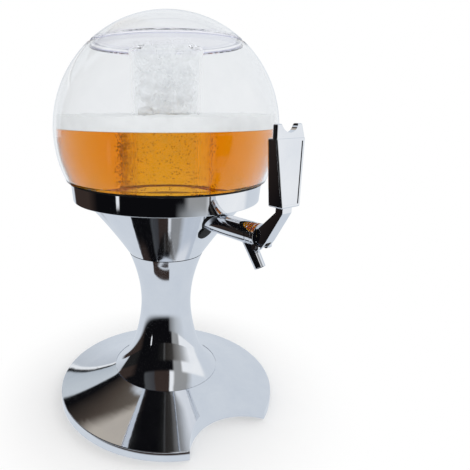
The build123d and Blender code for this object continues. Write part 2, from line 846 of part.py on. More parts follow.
def paddle_field():
    """Shallow sunk field in the front of the paddle, a margin inside its edges."""
    sections = []
    for rise in (paddle_field_margin, paddle_height - paddle_field_margin):
        share = rise / paddle_height
        depth = paddle_bottom_depth + share * (paddle_top_depth - paddle_bottom_depth)
        width = paddle_bottom_width + share * (paddle_top_width - paddle_bottom_width)
        width = width - paddle_field_margin - paddle_field_margin
        sections.append(paddle_section(rise, overrun, width, depth - paddle_field_depth))
    return loft(sections)


def make_lever_paddle():
    """Tapered paddle, wide and thin above, with a sunk field in front and two horns that draw in."""
    paddle = loft([
        paddle_section(0, paddle_bottom_depth, paddle_bottom_width),
        paddle_section(paddle_height, paddle_top_depth, paddle_top_width),
    ])
    horns = loft([
        paddle_section(paddle_height - paddle_horn_root, paddle_horn_depth, paddle_top_width,
                       paddle_top_depth - paddle_horn_depth),
        paddle_section(paddle_height + paddle_horn_height, paddle_horn_depth, paddle_horn_width,
                       paddle_horn_lean),
    ])
    top = pivot_height + paddle_bottom_rise + paddle_height + paddle_horn_height
    scoop_centre = top - paddle_scoop_depth + paddle_scoop_radius
    scoop = Location((0, -paddle_back_distance, scoop_centre), (90, 0, 0)) * Cylinder(
        paddle_scoop_radius, paddle_bottom_depth + paddle_bottom_depth
    )
    paddle = fillet(paddle.edges(), paddle_edge_radius) + fillet(horns.edges(), paddle_edge_radius)
    clearance = tang_fit + tang_fit
    socket = Pos(0, -paddle_back_distance - paddle_bottom_depth / 2, pivot_height + paddle_bottom_rise) * Box(
        tang_width + clearance, tang_depth + clearance, tang_height + tang_height + clearance
    )
    return paddle - paddle_field() - scoop - socket


def pin_length():
    """Length of the hinge pin over both ears."""
    return arm_width + ear_gap + ear_thickness + ear_gap + ear_thickness


def make_lever_pin():
    """Hinge pin through the ears and the lever's cheeks."""
    return crosswise(pin_radius, pin_length())


makers = {
    "foot_skirt": make_foot_skirt,
    "foot_base_plate": make_foot_base_plate,
    "ballast_weight": make_ballast_weight,
    "rubber_feet": make_rubber_feet,
    "base_screws": make_base_screws,
    "neck_column": make_neck_column,
    "neck_seal_ring": make_neck_seal_ring,
    "tie_rod": make_tie_rod,
    "tie_rod_nuts": make_tie_rod_nuts,
    "tie_rod_washers": make_tie_rod_washers,
    "funnel_housing": make_funnel_housing,
    "collar_ring": make_collar_ring,
    "collar_screws": make_collar_screws,
    "ball_seal": make_ball_seal,
    "ball_tank": make_ball_tank,
    "lid_gasket": make_lid_gasket,
    "ice_tube": make_ice_tube,
    "dome_lid": make_dome_lid,
    "tap_gasket": make_tap_gasket,
    "tap_inner_washer": make_tap_inner_washer,
    "tap_lock_nut": make_tap_lock_nut,
    "tap_body": make_tap_body,
    "spout_tube": make_spout_tube,
    "tap_bonnet": make_tap_bonnet,
    "stem_seal": make_stem_seal,
    "valve_plunger": make_valve_plunger,
    "valve_seal": make_valve_seal,
    "return_spring": make_return_spring,
    "lever_arm": make_lever_arm,
    "lever_paddle": make_lever_paddle,
    "lever_pin": make_lever_pin,
}

for node, make in makers.items():
    shape = make()
    export_step(shape, f"parts/{node}.step")
    print(node, len(shape.solids()), round(shape.volume, 1))
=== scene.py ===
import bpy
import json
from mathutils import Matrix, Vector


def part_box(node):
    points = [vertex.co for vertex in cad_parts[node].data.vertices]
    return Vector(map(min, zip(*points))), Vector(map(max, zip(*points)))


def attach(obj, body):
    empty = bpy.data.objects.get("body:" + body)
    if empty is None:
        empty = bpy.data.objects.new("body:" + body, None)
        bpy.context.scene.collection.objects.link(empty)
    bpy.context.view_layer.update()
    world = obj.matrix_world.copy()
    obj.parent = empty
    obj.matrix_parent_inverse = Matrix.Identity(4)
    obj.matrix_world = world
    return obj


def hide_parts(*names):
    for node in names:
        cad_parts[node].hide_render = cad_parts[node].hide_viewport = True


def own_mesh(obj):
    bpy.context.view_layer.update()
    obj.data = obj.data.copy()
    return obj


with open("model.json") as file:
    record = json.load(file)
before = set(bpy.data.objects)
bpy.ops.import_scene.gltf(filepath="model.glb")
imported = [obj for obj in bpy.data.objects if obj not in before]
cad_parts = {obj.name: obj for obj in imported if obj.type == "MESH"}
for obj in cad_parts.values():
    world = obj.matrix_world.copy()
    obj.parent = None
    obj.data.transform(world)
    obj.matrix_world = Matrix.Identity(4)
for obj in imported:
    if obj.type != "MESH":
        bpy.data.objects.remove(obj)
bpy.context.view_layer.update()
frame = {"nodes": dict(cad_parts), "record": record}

import json
import math
import random

import bmesh
import bpy
from mathutils import Matrix, Vector, noise

scene = bpy.context.scene

# Boxes read from the frame, in metres
tank_low, tank_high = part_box("ball_tank")
tube_low, tube_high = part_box("ice_tube")
collar_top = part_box("collar_ring")[1].z

# The ball and the ice tube, with the walls and heights that their boxes don't give
tank_wall = 0.0025
ball_centre = 0.279
ball_inner = (tank_high.x - tank_low.x) / 2 - tank_wall
tube_radius = 0.033
tube_toe_radius = 0.0312
tube_wall = 0.002
flare_start = tube_high.z - 0.0165
flange_low = tube_high.z - 0.0115
thin_radius = 0.0335
thin_fade = 0.001

# The drink, which keeps a small gap to the plastic, its foam, and the melt water in the tube
gap = 0.0003
drink_level = ball_centre + 0.0050
drink_floor = ball_centre - 0.0590
drink_floor_radius = 0.066
bowl_radius = 0.080
bowl_top = collar_top + 0.0045
foam_height = 0.0125
foam_swell = 0.0016
foam_sink = 0.0012
foam_waves = (70, 210)
wet_top = drink_level - 0.002
dry_bottom = drink_level + 0.012
water_level = drink_level - 0.001

# Bubbles on the ice tube, many of them in one upright stripe
bubble_seed = 5
bubble_count = 1500
stripe_bubbles = 800
stripe_turn = math.radians(166)
stripe_spread = 0.26
bubble_radii = (0.00022, 0.0006)
bubble_margin = 0.001
bubble_gap = 0.0002
bubble_drift = 0.005

# Broken ice
ice_seed = 11
ice_size = 0.0165
ice_sizes = (0.75, 1.0)
ice_layers = 8
ice_layer_turn = 0.55
ice_turn_spread = 0.2
ice_lift = 0.003
ice_ring = 6
ice_ring_radius = 0.0215
ice_ring_spread = 0.0015
ice_middle_radius = 0.003
ice_round = 0.0024
ice_dent = 0.0009
ice_wave = 160
ice_order = Vector((1.0, 3.1, 7.7))

# How many times light may turn, and how many clear layers it may cross
most_turns = 32
most_layers = 48

# The valve's spring
spring_wire = 0.0004
spring_turns = 6

# The photograph's camera
image_size = 470
focal_pixels = 441.1
sensor_width = 36.0
camera_distance = 0.4327
camera_height = 0.303
camera_azimuth = math.radians(-125)
camera_pitch = math.radians(16.3)
axis_pixel = 166


def add_camera():
    """Camera at the photograph's place, with the same perspective and framing."""
    data = bpy.data.cameras.new("camera")
    data.sensor_width = sensor_width
    data.lens = focal_pixels * sensor_width / image_size
    data.shift_x = (image_size / 2 - axis_pixel) / image_size
    camera = bpy.data.objects.new("camera", data)
    camera.location = (
        camera_distance * math.cos(camera_azimuth),
        camera_distance * math.sin(camera_azimuth),
        camera_height,
    )
    facing = camera_azimuth + math.pi / 2
    camera.rotation_euler = (math.pi / 2 - camera_pitch, 0, facing)
    scene.collection.objects.link(camera)
    scene.camera = camera


class Tree:
    """Short way to add and link nodes in a material's or the world's node tree."""

    def __init__(self, owner):
        owner.use_nodes = True
        self.tree = owner.node_tree
        self.tree.nodes.clear()

    def add(self, kind, inputs=None, **settings):
        """New node with its settings and inputs. An input is a value or another node's socket."""
        node = self.tree.nodes.new(kind)
        for name, value in settings.items():
            setattr(node, name, value)
        for name, value in (inputs or {}).items():
            if isinstance(value, bpy.types.NodeSocket):
                self.tree.links.new(value, node.inputs[name])
            else:
                node.inputs[name].default_value = value
        return node

    def link(self, socket, node, name):
        """Links a socket to a node's input."""
        self.tree.links.new(socket, node.inputs[name])

    def maths(self, operation, a, b=0.0):
        """Result of a maths node."""
        return self.add("ShaderNodeMath", {0: a, 1: b}, operation=operation).outputs[0]

    def without(self, share):
        """What a share leaves of one."""
        return self.maths("SUBTRACT", 1.0, share)

    def mix(self, factor, a, b):
        """Colour between a and b, each a socket or a colour of three numbers."""
        a, b = ((*end, 1) if isinstance(end, tuple) else end for end in (a, b))
        return self.add("ShaderNodeMix", {0: factor, 6: a, 7: b}, data_type="RGBA").outputs[2]

    def ramp(self, factor, stops):
        """Colour ramp with (position, colour) stops."""
        node = self.add("ShaderNodeValToRGB", {0: factor})
        elements = node.color_ramp.elements
        while len(elements) < len(stops):
            elements.new(0.5)
        for element, (position, colour) in zip(elements, stops):
            element.position = position
            element.color = (*colour, 1.0)
        return node.outputs[0]

    def spread(self, value, source, result):
        """Number that runs over the result's range as a value runs over the source's range."""
        inputs = {0: value, 1: source[0], 2: source[1], 3: result[0], 4: result[1]}
        return self.add("ShaderNodeMapRange", inputs).outputs[0]

    def between(self, value, low, high):
        """One where a value lies above high, zero below low, and smooth between them."""
        inputs = {0: value, 1: low, 2: high}
        return self.add("ShaderNodeMapRange", inputs, interpolation_type="SMOOTHSTEP").outputs[0]

    def place(self):
        """Place in object space."""
        return self.add("ShaderNodeTexCoord").outputs["Object"]

    def length(self, vector):
        """Length of a vector."""
        return self.add("ShaderNodeVectorMath", {0: vector}, operation="LENGTH").outputs["Value"]

    def noise(self, scale, detail, roughness=0.5, distortion=0.0):
        """Noise in object space."""
        return self.add("ShaderNodeTexNoise", {
            "Vector": self.place(), "Scale": scale, "Detail": detail,
            "Roughness": roughness, "Distortion": distortion,
        }).outputs["Fac"]

    def bump(self, height, strength, distance):
        """Bump node from a height."""
        return self.add("ShaderNodeBump", {
            "Height": height, "Strength": strength, "Distance": distance,
        }).outputs[0]

    def blend(self, share, first, second):
        """Shader between two shaders."""
        return self.add("ShaderNodeMixShader", {0: share, 1: first.outputs[0], 2: second.outputs[0]})

    def finish(self, shader):
        """Links a shader to the material's output."""
        output = self.add("ShaderNodeOutputMaterial")
        self.link(shader.outputs[0], output, "Surface")
        return output

    def surface(self, inputs):
        """Material's surface from one shader."""
        self.finish(self.add("ShaderNodeBsdfPrincipled", inputs))

    def clear_surface(self, shader, colour):
        """Material's surface from a clear shader. Lamp light and scattered light go straight through."""
        rays = self.add("ShaderNodeLightPath").outputs
        passing = self.maths("MAXIMUM", rays["Is Shadow Ray"], rays["Is Diffuse Ray"])
        straight = self.add("ShaderNodeBsdfTransparent", {"Color": (*colour, 1)})
        return self.finish(self.blend(passing, shader, straight))


def new_material(name):
    """Empty node material and its tree."""
    material = bpy.data.materials.new(name)
    return material, Tree(material)


def grey(value):
    """Neutral colour."""
    return (value, value, value)


# The studio around the object, as polished metal shows it. Angles are degrees to the right of the
# photograph's camera seen from above, heights are the upward part of a direction.
pale = (0.68, 0.73, 0.79)
white = (0.92, 0.94, 0.96)
black = (0.004, 0.004, 0.005)
brown = (0.040, 0.028, 0.024)
beige = (0.50, 0.455, 0.40)
slate = (0.33, 0.335, 0.335)

# Above the horizon, and what the far floor shows
low_panels = (
    (-180, pale), (-141, pale), (-136, brown), (-100, brown), (-84, black), (19, black),
    (25, slate), (44, slate), (50, white), (100, white), (108, pale), (179, pale),
)
# At the horizon
horizon_panels = (
    (-180, pale), (-141, pale), (-136, grey(0.015)), (-100, grey(0.015)), (-84, black), (-30, black),
    (-18, grey(0.010)), (-9, grey(0.015)), (-7, grey(0.07)), (-4, grey(0.07)),
    (-1, (0.025, 0.022, 0.020)), (13, (0.038, 0.035, 0.032)), (21, (0.05, 0.047, 0.044)),
    (28, (0.15, 0.145, 0.14)), (44, (0.27, 0.27, 0.265)), (55, (0.42, 0.43, 0.44)),
    (66, (0.66, 0.68, 0.70)), (78, white), (100, white), (108, pale), (179, pale),
)
# What the middle of the floor shows
middle_panels = (
    (-180, pale), (-141, pale), (-136, brown), (-100, brown), (-84, black), (10, black),
    (18, (0.22, 0.23, 0.24)), (40, (0.50, 0.53, 0.56)), (75, pale), (179, pale),
)
# Overhead
high_panels = (
    (-180, pale), (-116, pale), (-110, black), (-64, black), (-59, (0.07, 0.075, 0.08)),
    (-36, (0.05, 0.05, 0.055)), (-31, brown), (9, brown), (12, white), (20, white), (26, slate),
    (58, slate), (75, pale), (179, pale),
)
# At the left and behind, by height
side_bands = (
    (0.00, pale), (0.295, (0.56, 0.60, 0.65)), (0.305, white), (0.325, white), (0.335, black),
    (0.352, black), (0.365, (0.50, 0.55, 0.60)), (0.545, (0.60, 0.65, 0.69)), (0.560, black),
    (0.610, black), (0.76, (0.07, 0.055, 0.045)), (0.90, (0.13, 0.11, 0.09)),
)

# Where one set of panels turns into the next: heights, angles in degrees, and distances on the floor
horizon_top = (0.25, 0.33)
high_start = (0.50, 0.58)
side_end = (-127, -123)
side_start = (-172, -160)
beige_edge_angle = -143
beige_edge_height = 0.719
beige_edge_slope = 5.15
beige_edge_soft = (-0.015, 0.085)
near_floor_end = (0.29, 0.37)
middle_floor_end = (0.60, 0.66)
line_angles = ((-57, -56), (-53, -52))
line_floor_start = (0.64, 0.68)
patch_angle = -18
patch_half_angle = (30, 33)
patch_reach = 0.1313
patch_half_width = (0.0075, 0.0095)
floor_white_start = (0.10, 0.21)
floor_radius = 4.0
lamp_target = Vector((0, 0, 0.2))
studio_grey = grey(0.80)
full_white = grey(1.0)


def share_of(degrees):
    """Place of an angle on the panels' scale, from 0 to 1."""
    return (degrees + 180) / 360


def panel_ramp(tree, angle, stops):
    """Colour of the studio by direction seen from above."""
    return tree.ramp(angle, [(share_of(degrees), colour) for degrees, colour in stops])


def past_angle(tree, angle, degrees):
    """One where an angle on the panels' scale lies past two angles, and smooth between them."""
    return tree.between(angle, share_of(degrees[0]), share_of(degrees[1]))


def panel_angle(tree, parts):
    """Direction seen from above on the panels' scale, from the X and Y parts of a vector."""
    angle = tree.maths("ARCTAN2", parts[1], parts[0])
    turned = tree.maths("SUBTRACT", angle, camera_azimuth - math.pi)
    return tree.maths("FRACT", tree.maths("DIVIDE", turned, 2 * math.pi))


def add_world():
    """White studio: white to the camera and through clear plastic, panelled for polished metal."""
    world = bpy.data.worlds.new("studio")
    scene.world = world
    tree = Tree(world)
    direction = tree.add("ShaderNodeTexCoord").outputs["Generated"]
    parts = tree.add("ShaderNodeSeparateXYZ", {0: direction}).outputs
    angle, height = panel_angle(tree, parts), parts[2]
    horizon = panel_ramp(tree, angle, horizon_panels)
    low = tree.mix(tree.between(height, *horizon_top), horizon, panel_ramp(tree, angle, low_panels))
    front = tree.mix(tree.between(height, *high_start), low, panel_ramp(tree, angle, high_panels))
    level = beige_edge_height - beige_edge_slope * share_of(beige_edge_angle)
    edge = tree.maths("ADD", tree.maths("MULTIPLY", angle, beige_edge_slope), level)
    above = tree.maths("SUBTRACT", height, edge)
    side = tree.mix(tree.between(above, *beige_edge_soft), tree.ramp(height, side_bands), beige)
    side = tree.mix(past_angle(tree, angle, side_start), pale, side)
    reflected = tree.mix(past_angle(tree, angle, side_end), side, front)
    rays = tree.add("ShaderNodeLightPath").outputs
    colour = tree.mix(rays["Is Glossy Ray"], studio_grey, reflected)
    colour = tree.mix(rays["Is Transmission Ray"], colour, full_white)
    colour = tree.mix(rays["Is Camera Ray"], colour, full_white)
    background = tree.add("ShaderNodeBackground", {"Color": colour, "Strength": 1.0})
    tree.link(background.outputs[0], tree.add("ShaderNodeOutputWorld"), "Surface")


def floor_reflection(tree, place, reach):
    """Painted reflection that the floor gives only to polished metal: pale near the foot with one dark
    patch, panels further out, and a thin white line in the far ones."""
    angle = panel_angle(tree, tree.add("ShaderNodeSeparateXYZ", {0: place}).outputs)
    middle = panel_ramp(tree, angle, middle_panels)
    far = tree.mix(tree.between(reach, *middle_floor_end), middle, panel_ramp(tree, angle, low_panels))
    line_start, line_end = (past_angle(tree, angle, degrees) for degrees in line_angles)
    line = tree.maths("MULTIPLY", line_start, tree.without(line_end))
    line = tree.maths("MULTIPLY", line, tree.between(reach, *line_floor_start))
    far = tree.mix(line, far, white)
    # Painted dark patch in the floor's reflection, near the foot
    aside = tree.maths("ABSOLUTE", tree.maths("SUBTRACT", angle, share_of(patch_angle)))
    ring = tree.maths("ABSOLUTE", tree.maths("SUBTRACT", reach, patch_reach))
    patch = tree.without(tree.between(aside, *(degrees / 360 for degrees in patch_half_angle)))
    patch = tree.maths("MULTIPLY", patch, tree.without(tree.between(ring, *patch_half_width)))
    return tree.mix(tree.between(reach, *near_floor_end), tree.mix(patch, pale, brown), far)


def floor_material():
    """Pale floor that keeps the shadow near the object and runs out to white. To polished metal it glows
    with a painted reflection instead.
    """
    material, tree = new_material("floor")
    place = tree.place()
    paper = tree.ramp(tree.noise(scale=9.0, detail=4.0), ((0.3, grey(0.90)), (0.7, grey(0.93))))
    paint = tree.add("ShaderNodeBsdfPrincipled", {"Base Color": paper, "Roughness": 0.7})
    reach = tree.length(place)
    bright = tree.add("ShaderNodeEmission", {"Color": (*full_white, 1), "Strength": 1.0})
    # The floor glows with this painted reflection only where polished metal sees it
    glow = floor_reflection(tree, place, reach)
    panel = tree.add("ShaderNodeEmission", {"Color": glow, "Strength": 1.0})
    rays = tree.add("ShaderNodeLightPath").outputs
    seen = tree.maths("MAXIMUM", rays["Is Camera Ray"], rays["Is Transmission Ray"])
    mirrored = tree.maths("MULTIPLY", rays["Is Glossy Ray"], tree.without(seen))
    share = tree.maths("MULTIPLY", tree.between(reach, *floor_white_start), seen)
    tree.finish(tree.blend(mirrored, tree.blend(share, paint, bright), panel))
    return material


def add_floor():
    """Round floor under the object."""
    mesh = bpy.data.meshes.new("floor")
    shape = bmesh.new()
    bmesh.ops.create_circle(shape, cap_ends=True, segments=96, radius=floor_radius)
    shape.to_mesh(mesh)
    shape.free()
    floor = bpy.data.objects.new("floor", mesh)
    mesh.materials.append(floor_material())
    scene.collection.objects.link(floor)


def add_lamp(name, place, size, power):
    """Soft square lamp that faces the middle of the object and doesn't show in it."""
    data = bpy.data.lights.new(name, "AREA")
    data.size = size
    data.energy = power
    lamp = bpy.data.objects.new(name, data)
    lamp.location = place
    lamp.rotation_euler = (lamp_target - Vector(place)).to_track_quat("-Z", "Y").to_euler()
    lamp.visible_glossy = False
    lamp.visible_camera = False
    lamp.visible_transmission = False
    scene.collection.objects.link(lamp)


def chrome_material():
    """Polished chrome with faint wiping marks and a slightly uneven polish."""
    material, tree = new_material("chrome")
    smear = tree.noise(scale=38.0, detail=5.0, roughness=0.6, distortion=0.4)
    tint = tree.ramp(smear, ((0.25, (0.78, 0.80, 0.84)), (0.75, (0.86, 0.87, 0.89))))
    rough = tree.spread(smear, (0.3, 0.8), (0.035, 0.075))
    ripple = tree.noise(scale=12.0, detail=2.0)
    tree.surface({
        "Base Color": tint, "Metallic": 1.0, "Roughness": rough,
        "Normal": tree.bump(ripple, strength=0.04, distance=0.001),
    })
    return material


def steel_material():
    """Plain machined steel with fine turning marks."""
    material, tree = new_material("steel")
    marks = tree.noise(scale=420.0, detail=3.0, roughness=0.7)
    tint = tree.ramp(marks, ((0.3, (0.42, 0.43, 0.45)), (0.7, (0.62, 0.63, 0.65))))
    rough = tree.spread(marks, (0.0, 1.0), (0.22, 0.42))
    tree.surface({
        "Base Color": tint, "Metallic": 1.0, "Roughness": rough,
        "Normal": tree.bump(marks, strength=0.15, distance=0.0002),
    })
    return material


def brass_material():
    """Turned brass of the valve."""
    material, tree = new_material("valve_brass")
    marks = tree.noise(scale=300.0, detail=3.0, roughness=0.6)
    tint = tree.ramp(marks, ((0.3, (0.60, 0.44, 0.18)), (0.7, (0.78, 0.62, 0.32))))
    tree.surface({
        "Base Color": tint, "Metallic": 1.0, "Roughness": 0.3,
        "Normal": tree.bump(marks, strength=0.12, distance=0.0002),
    })
    return material


def clear_plastic_material(name, dark, light, thin_above=None):
    """Clear moulded plastic with a faint cool tint and fine scuffs. Where a height is given, light goes
    straight through the flange above it."""
    material, tree = new_material(name)
    scuff = tree.noise(scale=60.0, detail=6.0, roughness=0.65)
    rough = tree.spread(scuff, (0.45, 0.8), (0.0, 0.05))
    wave = tree.noise(scale=14.0, detail=1.0)
    tint = tree.ramp(scuff, ((0.2, dark), (0.8, light)))
    shader = tree.add("ShaderNodeBsdfPrincipled", {
        "Base Color": tint, "Roughness": rough, "IOR": 1.46, "Transmission Weight": 1.0,
        "Specular Tint": (0.35, 0.35, 0.35, 1), "Normal": tree.bump(wave, strength=0.02, distance=0.001),
    })
    if thin_above:
        place = tree.place()
        height = tree.add("ShaderNodeSeparateXYZ", {0: place}).outputs[2]
        flat = tree.add("ShaderNodeVectorMath", {0: place, 1: (1, 1, 0)}, operation="MULTIPLY")
        away = tree.length(flat.outputs[0])
        above = tree.between(height, thin_above, thin_above + thin_fade)
        thin = tree.maths("MULTIPLY", above, tree.between(away, thin_radius, thin_radius + thin_fade))
        straight = tree.add("ShaderNodeBsdfTransparent", {"Color": (0.972, 0.972, 0.984, 1)})
        shader = tree.blend(thin, shader, straight)
    tree.clear_surface(shader, (0.97, 0.975, 0.98))
    return material


def rubber_material(name, dark, light):
    """Moulded rubber with a fine grain."""
    material, tree = new_material(name)
    grain = tree.noise(scale=260.0, detail=4.0, roughness=0.6)
    tint = tree.ramp(grain, ((0.3, dark), (0.75, light)))
    rough = tree.spread(grain, (0.0, 1.0), (0.45, 0.7))
    tree.surface({
        "Base Color": tint, "Roughness": rough, "Specular IOR Level": 0.2,
        "Normal": tree.bump(grain, strength=0.2, distance=0.0003),
    })
    return material


def seal_material():
    """Soft translucent silicone of the gasket."""
    material, tree = new_material("seal_grey")
    cloud = tree.noise(scale=120.0, detail=4.0, roughness=0.6)
    tint = tree.ramp(cloud, ((0.3, (0.70, 0.71, 0.84)), (0.75, (0.82, 0.83, 0.93))))
    shader = tree.add("ShaderNodeBsdfPrincipled", {
        "Base Color": tint, "Roughness": 0.3, "IOR": 1.3, "Transmission Weight": 0.85,
        "Normal": tree.bump(cloud, strength=0.1, distance=0.0003),
    })
    tree.clear_surface(shader, (0.8, 0.8, 0.88))
    return material


def plastic_material():
    """Matt black moulded plastic with a spark texture."""
    material, tree = new_material("plastic_black")
    grain = tree.add("ShaderNodeTexVoronoi", {"Scale": 700.0}).outputs["Distance"]
    cloud = tree.noise(scale=25.0, detail=3.0)
    tint = tree.ramp(cloud, ((0.3, grey(0.028)), (0.7, grey(0.05))))
    tree.surface({
        "Base Color": tint, "Roughness": 0.5, "Normal": tree.bump(grain, strength=0.35, distance=0.0002),
    })
    return material


def cast_material():
    """Painted ballast plate with a rough cast face."""
    material, tree = new_material("cast_weight")
    lumps = tree.noise(scale=140.0, detail=6.0, roughness=0.7)
    tint = tree.ramp(lumps, ((0.3, grey(0.10)), (0.7, grey(0.20))))
    tree.surface({
        "Base Color": tint, "Metallic": 0.4, "Roughness": 0.6,
        "Normal": tree.bump(lumps, strength=0.5, distance=0.0006),
    })
    return material


def drink_material():
    """Clear amber drink that deepens with the way that light travels in it."""
    material, tree = new_material("drink")
    haze = tree.noise(scale=30.0, detail=4.0)
    tint = tree.ramp(haze, ((0.2, (0.99, 0.95, 0.86)), (0.8, (1.0, 0.985, 0.93))))
    shader = tree.add("ShaderNodeBsdfPrincipled", {
        "Base Color": tint, "Roughness": 0.0, "IOR": 1.34, "Transmission Weight": 1.0,
        "Specular Tint": (0.1, 0.1, 0.1, 1), "Normal": tree.bump(haze, strength=0.015, distance=0.001),
    })
    output = tree.clear_surface(shader, (1.0, 0.98, 0.9))
    depth = tree.add("ShaderNodeVolumeAbsorption", {"Color": (0.967, 0.768, 0.0, 1), "Density": 32.0})
    tree.link(depth.outputs[0], output, "Volume")
    return material


def water_material():
    """Melt water between the ice."""
    material, tree = new_material("melt_water")
    haze = tree.noise(scale=45.0, detail=4.0)
    tint = tree.ramp(haze, ((0.2, (0.96, 0.98, 0.97)), (0.8, full_white)))
    shader = tree.add("ShaderNodeBsdfPrincipled", {
        "Base Color": tint, "Roughness": 0.0, "IOR": 1.33, "Transmission Weight": 1.0,
        "Specular Tint": (0.1, 0.1, 0.1, 1), "Normal": tree.bump(haze, strength=0.03, distance=0.001),
    })
    tree.clear_surface(shader, full_white)
    return material


def foam_material():
    """Creamy foam made of small bubbles."""
    material, tree = new_material("foam")
    bubbles = tree.add("ShaderNodeTexVoronoi", {"Scale": 420.0}).outputs["Distance"]
    cloud = tree.noise(scale=70.0, detail=5.0, roughness=0.6)
    tint = tree.ramp(cloud, ((0.3, (0.84, 0.845, 0.84)), (0.7, (0.94, 0.945, 0.94))))
    tree.surface({
        "Base Color": tint, "Roughness": 0.6,
        "Normal": tree.bump(bubbles, strength=0.3, distance=0.0006),
    })
    return material


def ice_material():
    """Milky ice with clear and cloudy patches, and clear where it stands in its own melt water."""
    material, tree = new_material("ice")
    height = tree.add("ShaderNodeSeparateXYZ", {0: tree.place()}).outputs[2]
    dry = tree.between(height, wet_top, dry_bottom)
    cloud = tree.noise(scale=85.0, detail=5.0, roughness=0.62, distortion=0.8)
    crack = tree.noise(scale=240.0, detail=3.0, roughness=0.6)
    tint = tree.ramp(cloud, (
        (0.25, (0.93, 0.935, 0.94)), (0.5, (0.97, 0.975, 0.98)), (0.75, full_white),
    ))
    rough = tree.spread(cloud, (0.0, 1.0), (0.10, 0.40))
    thin = tree.spread(cloud, (0.35, 0.65), (0.03, 0.27))
    wet = tree.spread(cloud, (0.40, 0.65), (0.0, 0.04))
    milk = tree.add("ShaderNodeMix", {0: dry, 2: wet, 3: thin}).outputs[0]
    tree.surface({
        "Base Color": tint, "Roughness": rough, "IOR": 1.31, "Alpha": milk,
        "Normal": tree.bump(crack, strength=0.4, distance=0.001),
    })
    return material


materials = {
    "chrome": chrome_material(),
    "clear_plastic": clear_plastic_material(
        "clear_plastic", (0.90, 0.912, 0.925), (0.925, 0.935, 0.945)
    ),
    "rubber_black": rubber_material("rubber_black", grey(0.004), grey(0.012)),
    "seal_grey": seal_material(),
    "plastic_black": plastic_material(),
    "steel": steel_material(),
    "cast_weight": cast_material(),
    "valve_brass": brass_material(),
}


def dress_nodes():
    """Every node gets the material of its slot in the record. The ice tube gets a clearer plastic."""
    clearer = clear_plastic_material(
        "clear_plastic_thin", (0.975, 0.98, 0.985), (0.985, 0.99, 0.99), flange_low
    )
    for part in frame["record"]["subparts"]:
        mesh = frame["nodes"][part["node"]].data
        mesh.materials.clear()
        plain = materials[part["material_slot"]]
        mesh.materials.append(clearer if part["node"] == "ice_tube" else plain)


def add_piece(name, shape, material, body, crease=math.radians(35)):
    """Turns a bmesh into a piece that rides on a body. Edges sharper than the crease stay sharp."""
    mesh = bpy.data.meshes.new(name)
    bmesh.ops.recalc_face_normals(shape, faces=shape.faces)
    for face in shape.faces:
        face.smooth = True
    for edge in shape.edges:
        edge.smooth = edge.calc_face_angle(0) < crease
    shape.to_mesh(mesh)
    shape.free()
    mesh.materials.append(material)
    piece = bpy.data.objects.new(name, mesh)
    scene.collection.objects.link(piece)
    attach(piece, body)
    return piece


def turned(outline, segments=128):
    """Closed bmesh of revolution about Z from (radius, height) points that start and end on the axis
    or that form a loop."""
    shape = bmesh.new()
    rings = []
    for radius, height in outline:
        if radius == 0:
            rings.append([shape.verts.new((0, 0, height))])
            continue
        rings.append([
            shape.verts.new((radius * math.cos(turn), radius * math.sin(turn), height))
            for turn in (2 * math.pi * step / segments for step in range(segments))
        ])
    pairs = list(zip(rings, rings[1:]))
    if len(rings[0]) > 1:
        pairs.append((rings[-1], rings[0]))
    for lower, upper in pairs:
        for step in range(segments):
            after = (step + 1) % segments
            corners = [lower[step % len(lower)], lower[after % len(lower)],
                       upper[after % len(upper)], upper[step % len(upper)]]
            unique = list(dict.fromkeys(corners))
            if len(unique) > 2:
                shape.faces.new(unique)
    return shape


def inner_radius(height):
    """Inner radius of the ball at a height, less a small gap."""
    return math.sqrt(ball_inner ** 2 - (height - ball_centre) ** 2) - gap


def tube_radius_at(height):
    """Outer radius of the ice tube's tapered part at a height."""
    share = min(max((height - tube_low.z) / (flare_start - tube_low.z), 0.0), 1.0)
    return tube_toe_radius + (tube_radius - tube_toe_radius) * share


def around_tube(height):
    """Radius just outside the ice tube at a height."""
    return tube_radius_at(height) + gap


def ice_room(height):
    """Radius just inside the ice tube at a height."""
    return tube_radius_at(height) - tube_wall - 2 * gap


def levels(low, high, steps):
    """Even heights from low to high, both included."""
    return [low + (high - low) * step / steps for step in range(steps + 1)]


def add_drink():
    """The drink: it fills the ball up to its level and leaves room for the ice tube."""
    outline = [(0, drink_floor), (drink_floor_radius, drink_floor), (bowl_radius, bowl_top - gap)]
    outline += [(inner_radius(height), height) for height in levels(bowl_top, drink_level, 28)]
    outline += [(around_tube(drink_level), drink_level)]
    outline += [(around_tube(tube_low.z), tube_low.z - gap), (0, tube_low.z - gap)]
    add_piece("drink", turned(outline), drink_material(), "stand")


def add_foam():
    """Ring of foam on the drink with an uneven top."""
    low, high = drink_level + gap, drink_level + foam_height
    wall = [(inner_radius(height), height) for height in levels(low, high, 4)]
    top = [(radius, high) for radius in levels(inner_radius(high), around_tube(high), 14)[1:]]
    shape = turned(wall + top + [(around_tube(low), low)], segments=192)
    for vertex in shape.verts:
        if vertex.co.z > high - gap:
            broad, fine = (noise.noise(vertex.co * wave) for wave in foam_waves)
            swell = broad + 0.6 * fine
            vertex.co.z += foam_swell * swell - foam_sink
    add_piece("foam", shape, foam_material(), "stand")


